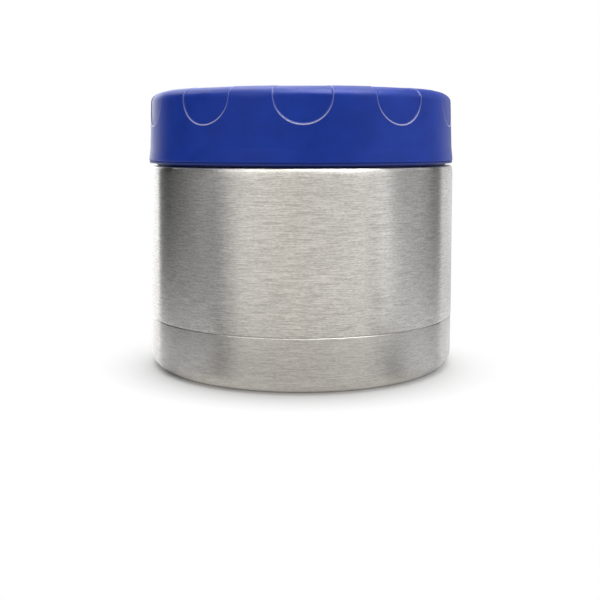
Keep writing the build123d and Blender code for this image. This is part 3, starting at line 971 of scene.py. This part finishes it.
def make_cap():
    """Cap with its ring of scallops between a spun crown and a spun skirt, and its hollow inside."""
    outer = CapSurface(cap_outline())
    top = outer.distance_to_radius(PATCH_TOP_RADIUS)
    bottom = outer.distance_to_height(PATCH_BOTTOM)
    same = 1e-6  # distances closer than this count as one place
    above = [p for p, d in zip(outer.points, outer.reach) if d < top - same] + [outer.at(top)[:2]]
    below = [outer.at(bottom)[:2]] + [p for p, d in zip(outer.points, outer.reach) if d > bottom + same]
    bore_top = CAP_SHOULDER_RADIUS - CAP_WALL
    bore_bottom = bore_top + (CAP_CEILING - FLANGE_TOP) * SKIRT_DRAFT
    hollow = rounded(
        [(bore_bottom, FLANGE_TOP, 0), (bore_top, CAP_CEILING, CAP_INNER_ROUND), (0, CAP_CEILING, 0)],
        closed=False,
    )
    segments = PATCH_ACROSS * SCALLOP_COUNT
    skirt = spun_mesh("cap_skirt", below + hollow, LID_BLUE, segments, closed=False)
    crown = spun_mesh("cap_crown", above, LID_BLUE, segments, closed=False)
    patch = scallop_patch(outer, top, bottom)
    scallops = grown_mesh("cap_scallops", patch, REPEAT, {"Count": SCALLOP_COUNT, "Material": LID_BLUE})
    for part in (skirt, crown):
        part.transform(Matrix.Rotation(-SCALLOP_SECTOR / 2, 4, "Z"))
    work = bmesh.new()
    for part in (skirt, crown, scallops):
        work.from_mesh(part)
        bpy.data.meshes.remove(part)
    mesh = bpy.data.meshes.new("cap")
    work.to_mesh(mesh)
    work.free()
    mesh.transform(Matrix.Rotation(SCALLOP_PHASE, 4, "Z"))
    finish_mesh(mesh, sharp=math.radians(50))
    place_piece("cap", mesh, LID_BLUE, "lid", "lid_plastic", "lid_cap")


make_shell()
make_cup()
make_vessel()
make_liner()
make_gasket()
make_cap()

# ---- Sealed inner pieces keep their CAD form ----
for node, material in (
    ("vacuum_bottom", STEEL_DRAWN),
    ("port_seal", SOLDER),
    ("getter_pill", GETTER),
    ("getter_clip", STEEL_DRAWN),
    ("radiation_shield", FOIL),
    ("lid_insulation", FOAM),
):
    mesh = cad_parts[node].data
    mesh.materials.clear()
    mesh.materials.append(material)


# ---- Floor, light and background ----
# Brightness of what the steel mirrors, by direction round the jar, in degrees from the front towards the
# right. The table is the floor near the jar, the apron lies beyond it, then come the walls, and the upper
# ring is what lies above them.
STUDIO_WALLS = (
    (-180, 0.80), (-144, 1.00), (-133, 1.70), (-131, 0.10), (-110, 0.05), (-95, 0.15),
    (-71, 1.00), (-62, 0.27), (-55, 0.00), (74, 0.00), (83, 0.54), (93, 0.63),
    (116, 0.05), (126, 0.20), (129, 0.95), (134, 0.85), (180, 0.78),
)
STUDIO_TABLE = (
    (-180, 1.00), (-144, 1.10), (-133, 1.30), (-130, 0.96), (-119, 0.82), (-110, 0.71),
    (-80, 0.88), (-70, 0.80), (-62, 0.38), (-54, 0.12), (-44, 0.30), (-32, 0.34),
    (10, 0.45), (46, 0.44), (56, 0.33), (64, 0.06), (73, 0.35), (83, 0.77),
    (93, 0.89), (116, 0.78), (125, 0.72), (129, 0.98), (133, 0.88), (180, 0.80),
)
STUDIO_APRON = (
    (-180, 1.03), (-133, 1.02), (-131, 0.28), (-119, 0.24), (-100, 0.31), (-80, 0.22),
    (-71, 0.10), (-62, 0.20), (-54, 0.60), (-44, 0.84), (-20, 0.80), (-4, 1.00),
    (10, 0.97), (34, 0.84), (46, 0.91), (56, 0.76), (64, 1.35), (73, 1.02),
    (83, 0.60), (105, 0.43), (120, 0.40), (126, 0.45), (129, 0.65), (180, 0.66),
)
STUDIO_UPPER = (
    (-180, 2.60), (-150, 1.60), (-142, 0.80), (-134, 0.60), (-131, 0.00), (-119, 0.00),
    (-105, 0.10), (-80, 0.12), (-71, 0.22), (-62, 0.70), (-44, 1.00), (-18, 0.80),
    (-4, 0.38), (8, 0.05), (26, 0.00), (46, 0.35), (56, 0.66), (64, 0.95),
    (73, 0.60), (83, 0.35), (93, 0.25), (105, 0.38), (116, 0.49), (124, 0.05),
    (128, 0.10), (132, 0.43), (180, 0.43),
)
WARM_GREEN = 0.05  # how much less green and blue the studio's front has than its back
WARM_BLUE = 0.145
# Distances from the jar's axis, in metres, over which one part of the floor gives way to the next.
LIT_FOOT_BEGINS = (0.0485, 0.0515)
LIT_FOOT_ENDS = (0.058, 0.072)
WHITE_BEGINS = (0.052, 0.072)
APRON_BEGINS = (0.08, 0.16)
WALLS_BEGIN = (0.30, 0.60)
FLOOR_LIT = 0.75  # brightness of the floor as the light meets it, and as the camera does
FLOOR_SEEN = 0.97
OVERHEAD = 8.0  # strength of the bright zone over the jar, in reflections alone
OVERHEAD_WAY = (0.27, -0.30, 0.915)
DAYLIGHT = 0.68  # soft light on matt surfaces, and how far it leans to the right and to the back
DAYLIGHT_FROM_RIGHT = 0.42
DAYLIGHT_FROM_BEHIND = 0.16


def make_ring(name, brightness):
    """Colour of the studio round the jar by azimuth, an angle from the front towards the right."""
    tree, shader, given, out = group_tree(name, {"Azimuth": 0.0}, {"Color": "NodeSocketColor"})
    share = shader.math("ADD", shader.math("DIVIDE", given.outputs["Azimuth"], 2 * math.pi), 0.5)
    ramp = shader.add("ShaderNodeValToRGB")
    shader.join(share, ramp.inputs["Fac"])
    stops = ramp.color_ramp.elements
    for degrees, value in brightness:
        warm = max(0.0, 1 - abs(degrees) / 90)
        place = (degrees + 180) / 360
        if degrees == -180:
            stop = stops[0]
        elif degrees == 180:
            stop = stops[-1]
        else:
            stop = stops.new(place)
        stop.position = place
        stop.color = (value, value * (1 - WARM_GREEN * warm), value * (1 - WARM_BLUE * warm), 1)
    shader.join(ramp.outputs["Color"], out.inputs["Color"])
    return tree


WALLS = make_ring("studio_walls", STUDIO_WALLS)
TABLE = make_ring("studio_table", STUDIO_TABLE)
APRON = make_ring("studio_apron", STUDIO_APRON)
UPPER = make_ring("studio_upper", STUDIO_UPPER)


def azimuth_of(shader, vector):
    """Angle of a vector from the front towards the right."""
    split = shader.add("ShaderNodeSeparateXYZ")
    shader.join(vector, split.inputs[0])
    return shader.math("ARCTAN2", split.outputs["X"], shader.math("MULTIPLY", split.outputs["Y"], -1.0))


def upright_azimuth(shader, place, length):
    """Azimuth of a spot on the floor, turned on near the jar so that bands stand upright in its wall."""
    plain = azimuth_of(shader, place)
    reach = shader.math("MINIMUM", shader.math("DIVIDE", BODY_RADIUS * MM, length), 1.0)
    turned = plain
    for _ in range(3):  # each round comes closer
        side = shader.math("SINE", shader.math("MULTIPLY", turned, 0.5))
        turned = shader.math("ADD", plain, shader.math("ARCSINE", shader.math("MULTIPLY", reach, side)))
    return turned


def layered(shader, mask, below, above):
    """Shader that goes from one to the other as the mask goes from 0 to 1."""
    mixed = shader.add("ShaderNodeMixShader")
    for socket, source in zip(mixed.inputs, (mask, below, above)):
        shader.join(source, socket)
    return mixed.outputs[0]


def studio_light(shader, kind, color=(1, 1, 1, 1), strength=1.0):
    """Plain emission or background of one colour; a ring may still be joined to its colour."""
    node = shader.add(kind)
    node.inputs["Color"].default_value = color
    node.inputs["Strength"].default_value = strength
    return node


def make_floor():
    """Pale matt floor that fades into the white background, and in reflections into the studio."""
    mesh = bpy.data.meshes.new("floor")
    half = 4.0
    corners = [(-half, -half, 0), (half, -half, 0), (half, half, 0), (-half, half, 0)]
    mesh.from_pydata(corners, [], [(0, 1, 2, 3)])
    floor = bpy.data.objects.new("floor", mesh)
    bpy.context.scene.collection.objects.link(floor)
    material, shader = new_material("pale_floor")
    path = shader.add("ShaderNodeLightPath")
    seen, mirrored = path.outputs["Is Camera Ray"], path.outputs["Is Glossy Ray"]
    place = shader.add("ShaderNodeTexCoord").outputs["Object"]
    length = shader.add("ShaderNodeVectorMath", operation="LENGTH")
    shader.join(place, length.inputs[0])
    from_axis = length.outputs["Value"]
    diffuse = shader.add("ShaderNodeBsdfDiffuse")
    shader.join(spread(shader, seen, FLOOR_LIT, FLOOR_SEEN, 0, 1), diffuse.inputs["Color"])
    azimuth = upright_azimuth(shader, place, from_axis)
    table = use_group(shader, TABLE)
    shader.join(azimuth, table.inputs["Azimuth"])
    near = shader.add("ShaderNodeBsdfDiffuse")
    shader.join(table.outputs["Color"], near.inputs["Color"])
    layers = []
    for tree in (APRON, WALLS):
        ring = use_group(shader, tree)
        shader.join(azimuth, ring.inputs["Azimuth"])
        layer = studio_light(shader, "ShaderNodeEmission")
        shader.join(ring.outputs["Color"], layer.inputs["Color"])
        layers.append(layer)
    apron, studio = layers
    white = studio_light(shader, "ShaderNodeEmission")
    lit_foot = studio_light(shader, "ShaderNodeEmission", color=(1.0, 0.96, 0.89, 1), strength=0.64)
    split = shader.add("ShaderNodeSeparateXYZ")
    shader.join(place, split.inputs[0])
    ahead = shader.math("DIVIDE", split.outputs["Y"], from_axis)
    in_front = spread(shader, ahead, 1, 0, at_low=-0.85, at_high=-0.5)
    foot_begins = spread(shader, from_axis, 0, 1, *LIT_FOOT_BEGINS)
    foot_ends = spread(shader, from_axis, 1, 0, *LIT_FOOT_ENDS)
    at_foot = shader.math("MULTIPLY", shader.math("MULTIPLY", foot_begins, foot_ends), in_front)
    surface = diffuse.outputs[0]
    for reach, ray, layer in (
        (1.0, mirrored, near),
        (at_foot, mirrored, lit_foot),
        (spread(shader, from_axis, 0, 1, *APRON_BEGINS), mirrored, apron),
        (spread(shader, from_axis, 0, 1, *WALLS_BEGIN), mirrored, studio),
        (spread(shader, from_axis, 0, 1, *WHITE_BEGINS), seen, white),
    ):
        surface = layered(shader, shader.math("MULTIPLY", reach, ray), surface, layer.outputs[0])
    output = shader.add("ShaderNodeOutputMaterial")
    shader.join(surface, output.inputs["Surface"])
    mesh.materials.append(material)


def make_world():
    """Soft light for matt surfaces, a white background, and a studio of panels for reflections."""
    world = bpy.data.worlds.new("studio")
    bpy.context.scene.world = world
    world.use_nodes = True
    world.node_tree.nodes.clear()
    shader = NodeTree(world.node_tree)
    way = shader.add("ShaderNodeTexCoord").outputs["Generated"]
    split = shader.add("ShaderNodeSeparateXYZ")
    shader.join(way, split.inputs[0])
    ring = use_group(shader, UPPER)
    shader.join(azimuth_of(shader, way), ring.inputs["Azimuth"])
    walls = studio_light(shader, "ShaderNodeBackground")
    shader.join(ring.outputs["Color"], walls.inputs["Color"])
    ahead = spread(shader, split.outputs["Y"], 1.0, 0.0, at_low=0.45, at_high=0.64)
    up = shader.math("ABSOLUTE", split.outputs["Z"])
    front_level = spread(shader, up, 0.4, 2.0, at_low=0.15, at_high=0.45)
    back_level = spread(shader, up, 1.4, 0.4, at_low=0.20, at_high=0.45)
    front_part = shader.math("MULTIPLY", front_level, ahead)
    back_part = shader.math("MULTIPLY", back_level, shader.math("SUBTRACT", 1.0, ahead))
    shader.join(shader.math("ADD", front_part, back_part), walls.inputs["Strength"])
    ceiling = studio_light(shader, "ShaderNodeBackground", (1, 0.975, 0.93, 1), OVERHEAD)
    toward = shader.add("ShaderNodeVectorMath", operation="DOT_PRODUCT")
    shader.join(way, toward.inputs[0])
    toward.inputs[1].default_value = OVERHEAD_WAY
    above = spread(shader, toward.outputs["Value"], 0.0, 1.0, at_low=0.88, at_high=0.95)
    reflected = layered(shader, above, walls.outputs[0], ceiling.outputs[0])
    lighting = studio_light(shader, "ShaderNodeBackground")
    from_right = shader.math("MULTIPLY", split.outputs["X"], DAYLIGHT_FROM_RIGHT)
    from_behind = shader.math("MULTIPLY", split.outputs["Y"], DAYLIGHT_FROM_BEHIND)
    sides = shader.math("ADD", from_right, from_behind)
    shader.join(shader.math("ADD", sides, DAYLIGHT), lighting.inputs["Strength"])
    white = studio_light(shader, "ShaderNodeBackground")
    path = shader.add("ShaderNodeLightPath")
    direct = shader.math("LESS_THAN", path.outputs["Diffuse Depth"], 0.5)
    glossy = shader.math("MULTIPLY", path.outputs["Is Glossy Ray"], direct)
    clear = shader.math("MAXIMUM", path.outputs["Is Camera Ray"], path.outputs["Is Transmission Ray"])
    by_gloss = layered(shader, glossy, lighting.outputs[0], reflected)
    by_camera = layered(shader, clear, by_gloss, white.outputs[0])
    output = shader.add("ShaderNodeOutputWorld")
    shader.join(by_camera, output.inputs["Surface"])


def make_panel(name, place, target, width, height, radiance):
    """Soft rectangular lamp of a given brightness."""
    data = bpy.data.lights.new(name, "AREA")
    data.shape = "RECTANGLE"
    data.size = width
    data.size_y = height
    data.energy = radiance * math.pi * width * height
    lamp = bpy.data.objects.new(name, data)
    lamp.location = place
    lamp.rotation_euler = (Vector(target) - Vector(place)).to_track_quat("-Z", "Y").to_euler()
    bpy.context.scene.collection.objects.link(lamp)


make_floor()
make_world()
make_panel("top_panel", place=(-0.08, 0.2, 0.6), target=(0, 0, 0), width=0.8, height=0.8, radiance=1.5)

view = bpy.context.scene.view_settings
view.view_transform = "Standard"
